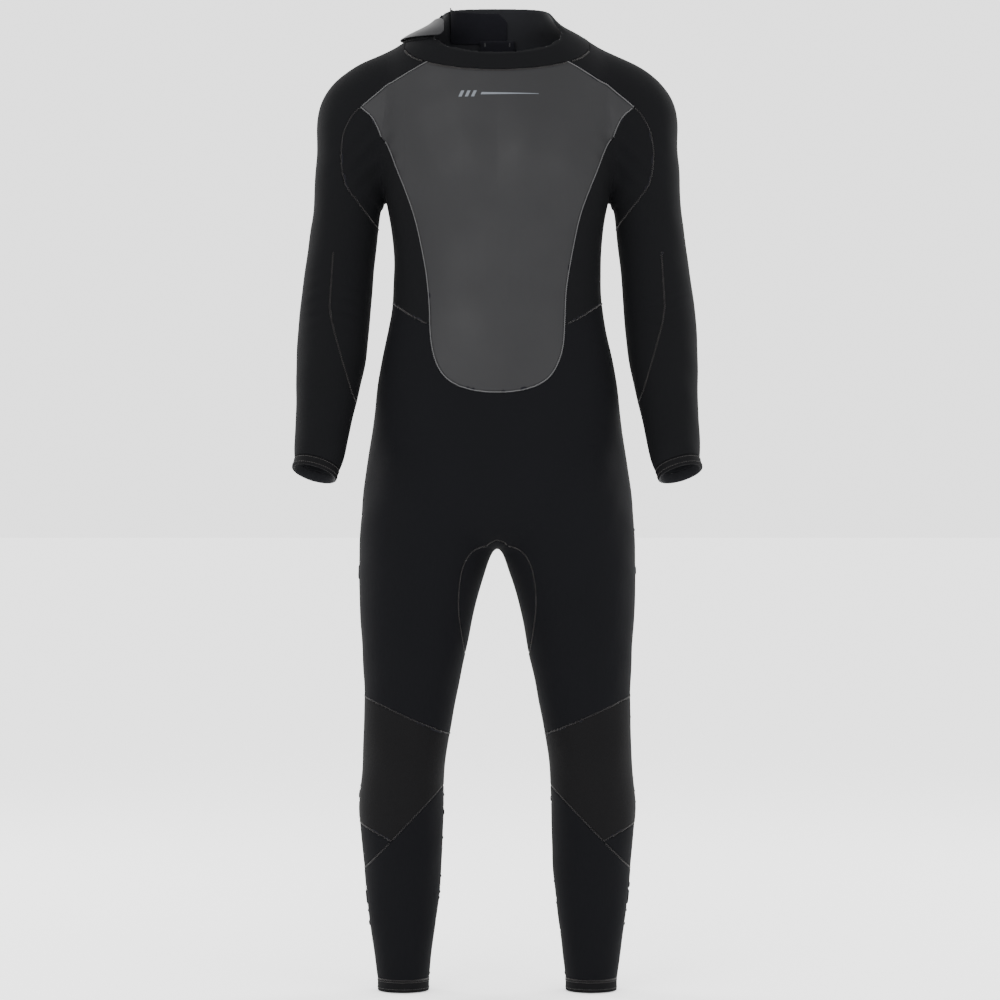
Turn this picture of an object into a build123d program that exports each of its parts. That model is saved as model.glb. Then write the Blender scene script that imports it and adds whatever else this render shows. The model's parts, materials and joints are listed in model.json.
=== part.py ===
from build123d import *

import os
from math import asin, copysign, cos, degrees, pi, radians, sin, sqrt

# Full-length back-zip wetsuit: separate neoprene panels, back zip, collar closure and cuffs.
# Millimetres, +Z up, the wearer faces -Y and their left side is +X. Heights are measured from
# the ankle hem line; at export the suit moves down so that the origin is the centre of the
# neck opening, where a wearer or a bust holds it.

# ---------------------------------------------------------------- driving sizes
WALL = 3.5  # neoprene with its two jersey faces
BODY_GAP = 0.4  # clear space where two moving parts of the suit meet at a seam
NECK_HEIGHT = 1420  # the neck opening's centre above the ankle hem line
REACH = 400  # half size of a cutter that passes every side of the suit
TOP = 1500  # above every part of the suit
RING_POINTS = 16  # points on each closed cross-section

# Seen from the side the back is one arc, so the zip runs on a true circle.
BACK_RADIUS = 900
BACK_CENTRE_Y = -795
BACK_CENTRE_Z = 1190

SIDE_SEAM_Y = 6  # front panels meet back panels here

# The soft bands that bend at the elbow.
ELBOW_TOP, ELBOW_BOTTOM = 1081, 946

ANKLE_CENTRE = (138.6, 5)
ANKLE_RADIUS = 38
ANKLE_HEM = 18
WRIST_RADIUS = 34
WRIST_HEM = 15

# The zip. A "rise" is a distance outwards from the back's surface.
SLOT_HALF = 12
ZIP_BOTTOM, ZIP_TOP = 985, 1404
CHAIN_INNER, CHAIN_OUTER = 0.9, 3.7
TAPE_RISE = (-2.2, -1.2)
COIL_RISE = (-3.1, -0.3)
STOP_RISE = (-3.3, -0.1)
STOP_LENGTH = 4
FLAP_RISE = (-8.2, -6.2)
FLAP_HALF, FLAP_WEB = 28, 6
BOND = 0.02  # a glue line's thickness
SPLIT_GAP = 1.0  # between the two collar halves, above the zip

SLIDER_Z = 1378
SLIDER_WING = [(4.5, -14), (6.5, -8), (6.5, 10), (3, 14)]  # half outline, (x, along the zip)
OUTER_WING_RISE = (0.2, 1.8)
INNER_WING_RISE = (-5.2, -3.6)
FLANGE_X = (4.2, 6.5)
FLANGE_LENGTH = 16
OUTER_FLANGE_RISE = (-0.8, 0.2)
INNER_FLANGE_RISE = (-3.6, -2.6)
BRIDGE_HALF, BRIDGE_ALONG = 0.5, (6, 13)
LUG_X, LUG_HALF_LENGTH, LUG_TOP = (2.9, 4.1), 3, 6.6
PIN_RISE, PIN_RADIUS = 4.6, 1.0

PULLER_LENGTH, PULLER_HALF, PULLER_THICKNESS = 42, 4.5, 2
PULLER_EYE, PULLER_KNUCKLE = 1.4, 2.3
TONGUE_HALF, TONGUE_LENGTH = 2.5, 6
LEASH_HOLE = 2.2

# Collar closure: layers stacked on the collar's outside, as rises.
STRAP_Z = (1400, 1430)
LOOP_Z = (1395, 1438)
LOOP_RISE = (0, 1.2)
HOOK_RISE = (1.5, 2.3)
STRAP_RISE = (2.3, 4.5)
GRIP_RISE = (2.3, 4.9)
STRAP_TIP_X, STRAP_ROOT_X = -78, -0.2
STRAP_CORNER = 9
GRIP_Y = -14  # the smooth grip covers the strap's end in front of this
HOOK_BACK_Y = 35
LOOP_FRONT_X, LOOP_BACK_Y = -65, 50
BASE_X = (0.2, 22)
NECK_FLAP_THICKNESS = 2

# ---------------------------------------------------------------- cross-sections
# height, half width, front y, back y (None: on the back's arc)
TORSO_RINGS = [
    (1468, 70, -38, None),
    (1449, 74, -50, None),
    (1436, 82.5, -58, None),
    (1422, 96, -66, None),
    (1408, 122, -72, None),
    (1393, 146, -78, None),
    (1370, 168, -88, None),
    (1330, 178, -101, None),
    (1260, 178, -114, None),
    (1180, 167, -116, None),
    (1110, 155, -107, None),
    (1040, 152.8, -98, None),
    (990, 157, -96, None),
    (950, 165.5, -97, 77),
    (890, 176.5, -100, 88),
    (800, 189.5, -97, 114),
    (720, 201, -88, 118),
    (680, 201, -68, 98),
    (657, 188, -36, 62),
]
TORSO_POWER = 2.15  # a little squarer than an ellipse

# height, centre x, half width, front y, back y
LEG_RINGS = [
    (810, 94, 74, -66, 84),
    (730, 101, 96, -85, 106),
    (657, 103.5, 101, -80, 95),
    (627, 109, 95, -77, 88),
    (590, 114.7, 88.5, -74, 82),
    (546, 119.5, 82.5, -71, 76),
    (501, 122.5, 76.7, -68, 70),
    (457, 126, 70.8, -64, 64),
    (413, 130, 66.2, -61, 60),
    (369, 134.5, 63, -60, 57),
    (324, 138.5, 61, -57, 56),
    (280, 141.5, 62, -52, 64),
    (236, 141.3, 61.2, -47, 68),
    (192, 139.7, 58, -44, 64),
    (147, 139.4, 54, -40, 56),
    (103, 139.4, 48.7, -37, 48),
    (59, 139.2, 42.8, -35, 43),
    (ANKLE_HEM, ANKLE_CENTRE[0], ANKLE_RADIUS, -33, 43),
]

# outer point (x, z), inner point (x, z), half depth, centre y, forward pitch
ARM_RINGS = [
    ((100, 1398), (88, 1268), 58, 8, 0),
    ((150, 1391), (118, 1245), 62, 8, 0),
    ((207, 1366), (142, 1215), 62, 8, 0),
    ((243, 1340), (155, 1192), 60, 8, 0),
    ((262, 1312), (160, 1178), 58, 8, 0),
    ((269, 1272), (164, 1165), 56, 8, 0),
    ((270.5, 1220), (169, 1152), 54, 8, 0),
    ((272.5, 1165), (174, 1135), 52, 8, 0),
    ((277, 1112), (177.5, 1100), 51, 8, 0),
    ((285, 1055), (182.5, 1055), 50, 7, 3),
    ((291.5, 1005), (186, 1008), 49, 3, 7),
    ((295, 950), (190.5, 950), 49, -7, 11),
    ((295, 890), (202, 885), 46, -22, 14),
    ((295.5, 830), (216, 820), 40, -41, 18),
    ((295.5, 784), (230.2, 765), WRIST_RADIUS, -60, 20),
]
SHOULDER_RINGS = 7  # the shoulder loft ends and the sleeve loft begins at this ring

# ---------------------------------------------------------------- seams
# Seen from the front, (x, z), on the wearer's left side.
CHEST_BOTTOM = [(0, 879), (35, 882)]
CHEST_LOWER_SIDE = [(75, 901), (92, 933), (98, 977)]
CHEST_UPPER_SIDE = [(99, 1011), (107, 1072), (127, 1156), (149, 1210), (166, 1254)]
SHOULDER_CORNER = (200, 1297)
RAGLAN = [SHOULDER_CORNER, (148, 1335), (89, 1366), (39, 1390)]
RAGLAN_TOP = (0, 1396)
WAIST = [CHEST_LOWER_SIDE[-1], (120, 988), (141, 1002), (167, 1021)]
BACK_HEM = [(0, 930), (60, 948), CHEST_LOWER_SIDE[-1]]
ARMHOLE = [SHOULDER_CORNER, (220, 1272), (229, 1240), (229, 1217), (223, 1183)]
SLEEVE = [ARMHOLE[-1], (234, 1130), (240, ELBOW_TOP)]
# Points in the clear air between sleeve and torso or hip, where outlines may turn.
UNDERARM_AIR, WAIST_AIR = (166, 1110), (170, 1050)
ELBOW_AIR = [(170, ELBOW_TOP), (176, ELBOW_BOTTOM)]
HIP_AIR = [(176, 950), (188, 885), (203, 820), (212, 750), (240, 735)]
GUSSET = [(0, 664), (22, 657), (42, 640), (55, 600), (56.5, 566), (53, 530), (46, 488)]
GUSSET_FOOT = (20, 488)
KNEE_TOP = [(240, 454), (0, 348)]
KNEE_BOTTOM = [(240, 136), (155, 224), (40, 345)]
CALF_WRAP = [(240, 267.6), (155, 224)]  # the calf panel reaches round the outside to here
CALF_TOP = [(240, 232), (40, 321)]  # its upper edge, seen from behind

# Seen from the side, (y, z).
NECK_SEAM = [(-120, 1327), (-98, 1344), (-66, 1366.5), (-10, 1402), (45, 1402), (130, 1372)]
COLLAR_RIM = [(-120, 1345), (-76, 1380), (0, 1437), (68, 1457), (120, 1464)]
NECK_FLAP = [(-70, 1404), (15, 1404), (15, 1436), (3, 1449), (-70, 1449)]  # seen from the front


# ---------------------------------------------------------------- helpers
def back_y(height):
    """The back's outer surface on the centre line."""
    return BACK_CENTRE_Y + sqrt(BACK_RADIUS**2 - (height - BACK_CENTRE_Z) ** 2)


def back_angle(height):
    """The height's place on the back's arc, in degrees above the arc's centre."""
    return degrees(asin((height - BACK_CENTRE_Z) / BACK_RADIUS))


def flip(shape):
    """The same shape on the wearer's other side."""
    return shape.mirror(Plane.YZ)


def block(x_range, y_range, z_range):
    corner = [low for low, high in (x_range, y_range, z_range)]
    size = [high - low for low, high in (x_range, y_range, z_range)]
    return Solid.make_box(*size).moved(Location(corner))


def outline_face(runs, place):
    """A face bounded by runs of points: two points make a line, more make a spline."""
    edges = []
    for run in runs:
        points = [place(*point) for point in run]
        edges.append(Edge.make_line(*points) if len(points) == 2 else Edge.make_spline(points))
    return Face(Wire(edges))


def front_cutter(runs, y_range=(-REACH, REACH)):
    """A prism whose outline is seen from the front."""
    face = outline_face(runs, lambda x, z: Vector(x, y_range[0], z))
    return Solid.extrude(face, Vector(0, y_range[1] - y_range[0], 0))


def above(curve):
    """Everything above a curve that is seen from the side."""
    first, last = curve[0], curve[-1]
    corners = [last, (last[0], TOP), (first[0], TOP), first]
    runs = [curve] + polyline(corners)
    face = outline_face(runs, lambda y, z: Vector(-REACH, y, z))
    return Solid.extrude(face, Vector(2 * REACH, 0, 0))


def polyline(points):
    """Straight runs through the points."""
    return [[start, end] for start, end in zip(points, points[1:])]


def both_sides(runs):
    """An outline's runs together with their mirror images."""
    return runs + [[(-x, z) for x, z in run] for run in runs]


def ring(centre, u_dir, v_dir, half_u, half_v, power=2.0):
    """A closed smooth section: power 2 is an ellipse, and more is squarer."""
    points = []
    for i in range(RING_POINTS):
        c, s = cos(2 * pi * i / RING_POINTS), sin(2 * pi * i / RING_POINTS)
        u = half_u * copysign(abs(c) ** (2 / power), c)
        v = half_v * copysign(abs(s) ** (2 / power), s)
        points.append(centre + u_dir * u + v_dir * v)
    steps = [i / RING_POINTS for i in range(RING_POINTS + 1)]
    return Wire([Edge.make_spline(points, periodic=True, parameters=steps)])


def level_ring(height, centre_x, half_width, front, back, power=2.0):
    centre = Vector(centre_x, (front + back) / 2, height)
    return ring(centre, Vector(1, 0, 0), Vector(0, 1, 0), half_width, (back - front) / 2, power)


def slanted_inset(inset, before, after):
    """The level inset that keeps the wall's thickness where a side slants."""
    rise = after[0] - before[0]
    return [inset * sqrt(1 + ((b - a) / rise) ** 2) for a, b in zip(before[1:], after[1:])]


# ---------------------------------------------------------------- the suit's form
def torso(inset):
    sections = [(z, w, f, back_y(z) if b is None else b) for z, w, f, b in TORSO_RINGS]
    rings = []
    for i, (height, half_width, front, back) in enumerate(sections):
        before, after = sections[max(i - 1, 0)], sections[min(i + 1, len(sections) - 1)]
        side, fore, aft = slanted_inset(inset, before, after)
        floor = max(inset, 0) if i == len(sections) - 1 else 0
        values = (height + floor, 0, half_width - side, front + fore, back - aft)
        rings.append(level_ring(*values, TORSO_POWER))
    return Solid.make_loft(rings)


def leg(inset):
    rings = []
    for height, centre_x, half_width, front, back in LEG_RINGS:
        rings.append(level_ring(height, centre_x, half_width - inset, front + inset, back - inset))
    return Solid.make_loft(rings)


def arm_section(outer, inner, half_depth, centre_y, pitch, inset=0):
    """A ring across the sleeve, with its centre and the direction the sleeve runs in."""
    outer, inner = Vector(outer[0], centre_y, outer[1]), Vector(inner[0], centre_y, inner[1])
    u_dir = (outer - inner).normalized()
    down = Vector(u_dir.Z, 0, -u_dir.X)
    along = down * cos(radians(pitch)) + Vector(0, -1, 0) * sin(radians(pitch))
    centre = (outer + inner) * 0.5
    half_u = (outer - inner).length / 2 - inset
    return ring(centre, u_dir, u_dir.cross(along), half_u, half_depth - inset), centre, along


def arm(inset):
    rings = [arm_section(*values, inset)[0] for values in ARM_RINGS]
    shoulder = Solid.make_loft(rings[:SHOULDER_RINGS])
    sleeve = Solid.make_loft(rings[SHOULDER_RINGS - 1 :])
    return shoulder.fuse(sleeve)


def form(inset):
    """Torso, legs and sleeves as one solid, shrunk by inset."""
    one_leg, one_arm = leg(inset), arm(inset)
    return torso(inset).fuse(one_leg, flip(one_leg), one_arm, flip(one_arm))


# ---------------------------------------------------------------- body panels
def collar_and_body():
    """The shell, divided at the neck seam; the back is open for the zip."""
    shell = form(0) - form(WALL)
    behind = (0, REACH)
    slot = block((-SLOT_HALF, SLOT_HALF), behind, (ZIP_BOTTOM, ZIP_TOP))
    split = block((-SPLIT_GAP / 2, SPLIT_GAP / 2), behind, (ZIP_TOP - 1, TOP))
    neck = above(NECK_SEAM)
    collar = (shell & neck) - above(COLLAR_RIM) - slot - split
    return collar, shell - neck - slot


def torso_panels(body):
    front, back = (-REACH, SIDE_SEAM_Y), (SIDE_SEAM_Y, REACH)
    shoulder_edge = [RAGLAN, [RAGLAN[-1], RAGLAN_TOP]]
    armhole_edge = [CHEST_LOWER_SIDE[-1:] + CHEST_UPPER_SIDE + [SHOULDER_CORNER]]

    chest_side = [CHEST_BOTTOM + CHEST_LOWER_SIDE + CHEST_UPPER_SIDE + [SHOULDER_CORNER]]
    chest_cutter = front_cutter(both_sides(chest_side + shoulder_edge), front)
    chest = body & chest_cutter

    left_back = [BACK_HEM] + armhole_edge + shoulder_edge + [[RAGLAN_TOP, BACK_HEM[0]]]
    back_panel = body & front_cutter(left_back, back)

    # The side panel runs from the waist seam up under the arm and into the sleeve.
    underarm = polyline([ARMHOLE[-1], UNDERARM_AIR, WAIST_AIR, WAIST[-1]])
    side = (body & front_cutter(armhole_edge + [ARMHOLE] + underarm + [WAIST])) - chest_cutter
    return chest, back_panel, side, chest_cutter


def sleeve_panels(body):
    """Inner sleeve, shoulder panel, elbow band and forearm."""
    inner_air = polyline([SLEEVE[-1], ELBOW_AIR[0], UNDERARM_AIR, SLEEVE[0]])
    inner = body & front_cutter([SLEEVE] + inner_air)

    outside = polyline([SLEEVE[-1], (REACH, ELBOW_TOP), (REACH, TOP), (RAGLAN[-1][0], TOP), RAGLAN[-1]])
    shoulder = body & front_cutter([RAGLAN, ARMHOLE, SLEEVE] + outside)

    elbow_corners = [ELBOW_AIR[0], (REACH, ELBOW_TOP), (REACH, ELBOW_BOTTOM), ELBOW_AIR[1], ELBOW_AIR[0]]
    elbow = body & front_cutter(polyline(elbow_corners))

    cuff_z = ELBOW_BOTTOM - BODY_GAP
    air = [(REACH, cuff_z), (REACH, 700), (222, 700)] + HIP_AIR[3:0:-1] + [(176, cuff_z), (REACH, cuff_z)]
    forearm = body & front_cutter(polyline(air))
    return inner, shoulder, elbow, forearm


def hip_panels(body, chest_cutter):
    """Front panel, seat panel and crotch gusset; each spans both thighs down to the knees."""
    front, back = (-REACH, SIDE_SEAM_Y), (SIDE_SEAM_Y, REACH)
    gusset_foot = polyline([GUSSET[-1], GUSSET_FOOT, (0, GUSSET_FOOT[1])])
    gusset_cutter = front_cutter(both_sides([GUSSET] + gusset_foot))
    gusset = body & gusset_cutter

    flank = polyline([WAIST[-1]] + HIP_AIR + [KNEE_TOP[0]]) + [KNEE_TOP]
    front_top = [[(0, 1100), (80, 1100)], [(80, 1100), WAIST[0]], WAIST]
    front_panel = (body & front_cutter(both_sides(front_top + flank), front)) - gusset_cutter - chest_cutter
    seat_panel = (body & front_cutter(both_sides([BACK_HEM, WAIST] + flank), back)) - gusset_cutter
    return front_panel, seat_panel, gusset


def lowered(runs):
    """The same outline below the gap that parts two moving bodies."""
    return [[(x, z - BODY_GAP) for x, z in run] for run in runs]


def knee_and_shin_panels(body):
    front, back = (-REACH, SIDE_SEAM_Y), (SIDE_SEAM_Y, REACH)
    inner_edge = [KNEE_TOP[1], (0, KNEE_BOTTOM[2][1]), KNEE_BOTTOM[2]]
    pad_edge = [KNEE_TOP] + polyline(inner_edge)
    lower_edge = [[KNEE_BOTTOM[2], CALF_WRAP[1]], CALF_WRAP[::-1]]
    knee_pad = body & front_cutter(pad_edge + lower_edge + [[CALF_WRAP[0], KNEE_TOP[0]]], front)

    behind_edge = [KNEE_TOP] + polyline([KNEE_TOP[1], CALF_TOP[1], CALF_TOP[0], KNEE_TOP[0]])
    knee_back = body & front_cutter(behind_edge, back)

    shin_edge = [KNEE_BOTTOM] + polyline([KNEE_BOTTOM[2], (40, 0), (240, 0), KNEE_BOTTOM[0]])
    shin = body & front_cutter(lowered(shin_edge), front)

    wrap_edge = [CALF_WRAP, KNEE_BOTTOM[1::-1], [KNEE_BOTTOM[0], CALF_WRAP[0]]]
    calf_edge = polyline([CALF_TOP[0], CALF_TOP[1], (40, 0), (240, 0), CALF_TOP[0]])
    wrap = body & front_cutter(lowered(wrap_edge), front)
    calf = (body & front_cutter(lowered(calf_edge), back)).fuse(wrap)
    return knee_pad, knee_back, shin, calf


def hem(plane, radius, length):
    return Solid.make_cylinder(radius, length, plane) - Solid.make_cylinder(radius - WALL, length, plane)


def wrist_hem():
    _, centre, along = arm_section(*ARM_RINGS[-1])
    return hem(Plane(origin=centre, z_dir=along), WRIST_RADIUS, WRIST_HEM)


def ankle_hem():
    return hem(Plane(origin=(*ANKLE_CENTRE, 0)), ANKLE_RADIUS, ANKLE_HEM)


# ---------------------------------------------------------------- zip
def along_back(x_range, rise_range, z_range):
    """A bar that follows the back's arc."""
    start, end = back_angle(z_range[0]), back_angle(z_range[1])
    radial = Vector(0, cos(radians(start)), sin(radians(start)))
    centre = Vector(0, BACK_CENTRE_Y, BACK_CENTRE_Z)
    corners = []
    for x, rise in ((0, 0), (0, 1), (1, 1), (1, 0)):
        corners.append(centre + radial * (BACK_RADIUS + rise_range[rise]) + Vector(x_range[x], 0, 0))
    profile = Face(Wire.make_polygon(corners, close=True))
    return Solid.revolve(profile, end - start, Axis(centre, (1, 0, 0)))


def on_back(shape, height):
    """Moves a shape drawn at the origin, with y as rise and z along the zip, onto the back."""
    lift = Location((0, BACK_RADIUS, 0))
    return shape.moved(Location((0, BACK_CENTRE_Y, BACK_CENTRE_Z), (back_angle(height), 0, 0)) * lift)


def cross_pin(radius, half_width, rise, along=0):
    """A cylinder across the zip."""
    return Solid.make_cylinder(radius, 2 * half_width, Plane(origin=(-half_width, rise, along), z_dir=(1, 0, 0)))


def zip_parts():
    chain = (ZIP_BOTTOM + STOP_LENGTH + 1, ZIP_TOP - 2 * STOP_LENGTH)
    top_stop = (chain[1], chain[1] + STOP_LENGTH)
    bottom_stop = (ZIP_BOTTOM + 1, chain[0])
    tape = along_back((CHAIN_OUTER, SLOT_HALF), TAPE_RISE, (ZIP_BOTTOM, ZIP_TOP))
    coil = along_back((CHAIN_INNER, CHAIN_OUTER), COIL_RISE, chain)
    stop = along_back((CHAIN_INNER, CHAIN_OUTER), STOP_RISE, top_stop)
    foot = along_back((-CHAIN_OUTER, CHAIN_OUTER), STOP_RISE, bottom_stop)

    # The flap behind the zip is joined to the right back panel along one edge.
    flap_z = (ZIP_BOTTOM - 9, ZIP_TOP - 5)
    web = along_back((-FLAP_HALF, FLAP_WEB - FLAP_HALF), (FLAP_RISE[1], 0), flap_z) & torso(WALL + BOND)
    flap = along_back((-FLAP_HALF, FLAP_HALF), FLAP_RISE, flap_z).fuse(web)
    return tape, coil, stop, foot, flap


def wing(rise_range):
    """One plate of the slider."""
    half = [(x, rise_range[0], along) for x, along in SLIDER_WING]
    points = half + [(-x, y, z) for x, y, z in reversed(half)]
    face = Face(Wire.make_polygon(points, close=True))
    return Solid.extrude(face, Vector(0, rise_range[1] - rise_range[0], 0))


def zip_slider():
    half_flange = (-FLANGE_LENGTH / 2, FLANGE_LENGTH / 2)
    flange = block(FLANGE_X, OUTER_FLANGE_RISE, half_flange)
    lower_flange = block(FLANGE_X, INNER_FLANGE_RISE, half_flange)
    lug = block(LUG_X, (OUTER_WING_RISE[1], LUG_TOP), (-LUG_HALF_LENGTH, LUG_HALF_LENGTH))
    bridge = block((-BRIDGE_HALF, BRIDGE_HALF), (INNER_WING_RISE[1], OUTER_WING_RISE[0]), BRIDGE_ALONG)
    pairs = [flange, lower_flange, lug]
    body = wing(OUTER_WING_RISE).fuse(wing(INNER_WING_RISE), bridge, *pairs, *[flip(part) for part in pairs])
    return on_back(body.fuse(cross_pin(PIN_RADIUS, LUG_X[0], PIN_RISE)), SLIDER_Z)


def zip_puller():
    low, high = PIN_RISE - PULLER_THICKNESS / 2, PIN_RISE + PULLER_THICKNESS / 2
    end = PULLER_HALF - PULLER_LENGTH
    facing = Plane(origin=(0, low, end), z_dir=(0, 1, 0))
    knuckle = cross_pin(PULLER_KNUCKLE, TONGUE_HALF, PIN_RISE)
    tongue = block((-TONGUE_HALF, TONGUE_HALF), (low, high), (-TONGUE_LENGTH - 1, 0))
    plate = block((-PULLER_HALF, PULLER_HALF), (low, high), (end, -TONGUE_LENGTH))
    tip = Solid.make_cylinder(PULLER_HALF, PULLER_THICKNESS, facing)
    body = knuckle.fuse(tongue, plate, tip)
    eye = cross_pin(PULLER_EYE, PULLER_HALF, PIN_RISE)
    return on_back(body - eye - Solid.make_cylinder(LEASH_HOLE, PULLER_THICKNESS, facing), SLIDER_Z)


# ---------------------------------------------------------------- collar closure
def collar_layer(rise_range, cutter):
    """A patch that follows the collar's outside between two rises."""
    return (torso(-rise_range[1]) & cutter) - torso(-rise_range[0])


def strap_band(z_range, x_range, rounding):
    """A level band round the collar, whose end has rounded corners seen from the front."""
    band = block(x_range, (-REACH, REACH), z_range)
    ends = band.edges().filter_by(Axis.Y).sort_by(Axis.X)[-2:]
    return band.fillet(rounding, ends)


def collar_closure():
    """Loop patch, hook patch, strap, grip and the strap's sewn base."""
    right = (-REACH, STRAP_TIP_X)
    tip = strap_band(STRAP_Z, right, STRAP_CORNER)
    hook_z = (STRAP_Z[0] + 1, STRAP_Z[1] - 1)
    hook_tip = strap_band(hook_z, (-REACH, STRAP_TIP_X - 1), STRAP_CORNER - 1)
    in_front = block((-REACH, 0), (-REACH, GRIP_Y), (0, TOP))
    behind = block((-REACH, STRAP_ROOT_X), (GRIP_Y, REACH), STRAP_Z)

    loop_area = block((-REACH, LOOP_FRONT_X), (-REACH, LOOP_BACK_Y), LOOP_Z)
    loop = (collar_layer(LOOP_RISE, loop_area) & above(NECK_SEAM)) - above(COLLAR_RIM)
    hook_area = hook_tip & block((-REACH, 0), (-REACH, HOOK_BACK_Y), (0, TOP))
    hook = collar_layer(HOOK_RISE, hook_area)
    grip = collar_layer(GRIP_RISE, tip & in_front)
    strap = collar_layer(STRAP_RISE, behind)
    base = collar_layer((0, STRAP_RISE[1]), block(BASE_X, (0, REACH), STRAP_Z))
    return loop, hook, strap, grip, base


def neck_flap():
    """The soft flap inside the collar that covers the back split."""
    cutter = front_cutter(polyline(NECK_FLAP + NECK_FLAP[:1]), (0, REACH))
    return (torso(WALL) & cutter) - torso(WALL + NECK_FLAP_THICKNESS)


# ---------------------------------------------------------------- the assembly
def assemble():
    collar, body = collar_and_body()
    chest, back_panel, side, chest_cutter = torso_panels(body)
    inner_sleeve, shoulder, elbow, forearm = sleeve_panels(body)
    front_panel, seat_panel, gusset = hip_panels(body, chest_cutter)
    knee_pad, knee_back, shin, calf = knee_and_shin_panels(body)
    tape, coil, top_stop, bottom_stop, zip_flap = zip_parts()
    loop, hook, strap, grip, base = collar_closure()

    single = {
        "chest_panel": chest,
        "collar": collar,
        "front_panel": front_panel,
        "seat_panel": seat_panel,
        "crotch_gusset": gusset,
        "zip_bottom_stop": bottom_stop,
        "zip_flap": zip_flap,
        "zip_slider": zip_slider(),
        "zip_puller": zip_puller(),
        "neck_flap": neck_flap(),
        "loop_patch": loop,
        "strap_base": base,
        "collar_strap": strap,
        "hook_patch": hook,
        "strap_grip": grip,
    }
    paired = {
        "back_panel": back_panel,
        "side_panel": side,
        "shoulder_panel": shoulder,
        "inner_sleeve": inner_sleeve,
        "elbow_band": elbow,
        "forearm_panel": forearm,
        "wrist_hem": wrist_hem(),
        "knee_pad": knee_pad,
        "knee_back": knee_back,
        "shin_panel": shin,
        "calf_panel": calf,
        "ankle_hem": ankle_hem(),
        "zip_tape": tape,
        "zip_coil": coil,
        "zip_top_stop": top_stop,
    }
    pieces = dict(single)
    for name, shape in paired.items():
        pieces[f"{name}_left"] = shape
        pieces[f"{name}_right"] = flip(shape)
    return pieces


os.makedirs("parts", exist_ok=True)
to_neck = Location((0, 0, -NECK_HEIGHT))
for name, shape in assemble().items():
    solids = shape.solids()
    assert len(solids) == 1, f"{name} is {len(solids)} solids"
    export_step(solids[0].moved(to_neck), f"parts/{name}.step")
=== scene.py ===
import json
import math

import bmesh
import bpy
import numpy as np
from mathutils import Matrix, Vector
from mathutils.bvhtree import BVHTree
from mathutils.kdtree import KDTree

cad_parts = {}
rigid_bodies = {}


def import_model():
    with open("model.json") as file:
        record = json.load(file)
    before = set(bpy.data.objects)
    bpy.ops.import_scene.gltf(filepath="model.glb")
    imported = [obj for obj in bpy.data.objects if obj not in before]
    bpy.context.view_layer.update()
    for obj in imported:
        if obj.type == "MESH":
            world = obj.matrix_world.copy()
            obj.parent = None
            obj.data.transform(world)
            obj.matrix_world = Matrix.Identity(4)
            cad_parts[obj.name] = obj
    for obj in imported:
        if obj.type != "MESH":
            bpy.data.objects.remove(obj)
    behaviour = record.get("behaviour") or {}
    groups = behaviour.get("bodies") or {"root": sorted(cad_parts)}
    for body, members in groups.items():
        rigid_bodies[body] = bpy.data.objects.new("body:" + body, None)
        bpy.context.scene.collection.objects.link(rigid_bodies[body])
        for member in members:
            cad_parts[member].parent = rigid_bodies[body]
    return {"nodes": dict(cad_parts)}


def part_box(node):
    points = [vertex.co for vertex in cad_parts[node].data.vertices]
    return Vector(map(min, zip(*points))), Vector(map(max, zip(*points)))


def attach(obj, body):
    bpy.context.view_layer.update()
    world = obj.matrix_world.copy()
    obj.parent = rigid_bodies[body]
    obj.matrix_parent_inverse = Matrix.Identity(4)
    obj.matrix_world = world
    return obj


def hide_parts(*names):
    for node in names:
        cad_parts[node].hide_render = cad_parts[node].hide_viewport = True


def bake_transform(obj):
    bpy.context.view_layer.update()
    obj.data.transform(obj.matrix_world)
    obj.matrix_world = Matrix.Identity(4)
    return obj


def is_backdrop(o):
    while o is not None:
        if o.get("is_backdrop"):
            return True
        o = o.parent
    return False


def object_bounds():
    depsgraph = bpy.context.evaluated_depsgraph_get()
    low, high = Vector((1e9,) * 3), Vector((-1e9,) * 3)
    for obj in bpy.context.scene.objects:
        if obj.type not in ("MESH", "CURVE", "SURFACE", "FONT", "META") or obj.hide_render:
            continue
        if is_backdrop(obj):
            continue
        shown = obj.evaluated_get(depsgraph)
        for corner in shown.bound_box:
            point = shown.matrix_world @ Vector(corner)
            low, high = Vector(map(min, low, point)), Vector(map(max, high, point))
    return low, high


# ---------------------------------------------------------------- driving values (metres)
SUIT = "suit"
NECK_ABOVE_HEM = 1.420  # the row's origin, above the ankle hem line
VOXEL = 0.0017  # the panels' mesh size
CAMERA_DISTANCE = 5.0
CAMERA_X = 0.004
VIEW_MIDDLE = 722.75  # millimetres above the hem
VIEW_HEIGHT = 1.475
SENSOR_MM = 36
FLOOR_HALF = 60
WORLD_STRENGTH = 2.3
FLOOR_GLOW = 0.5
STITCH_PITCH = 0.0032
STITCH_HALF = 0.0013
THREAD_RADIUS = 0.00032
SEAM_REACH = 0.0016
SEAM_DEPTH = 0.0005
TAPE_DEPTH, TAPE_RADIUS = 0.0022, 0.0016  # the glued tape behind each seam

for startup_object in list(bpy.data.objects):
    bpy.data.objects.remove(startup_object)
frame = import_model()
NODES = frame["nodes"]
SIDES = ("left", "right")


def height(mm_above_hem):
    """A height above the ankle hem line, in the row frame."""
    return mm_above_hem / 1000 - NECK_ABOVE_HEM


def write_size(when, sizes={}):
    lo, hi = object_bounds()
    sizes[when] = {"low": list(lo), "high": list(hi)}


write_size("cad")


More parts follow.
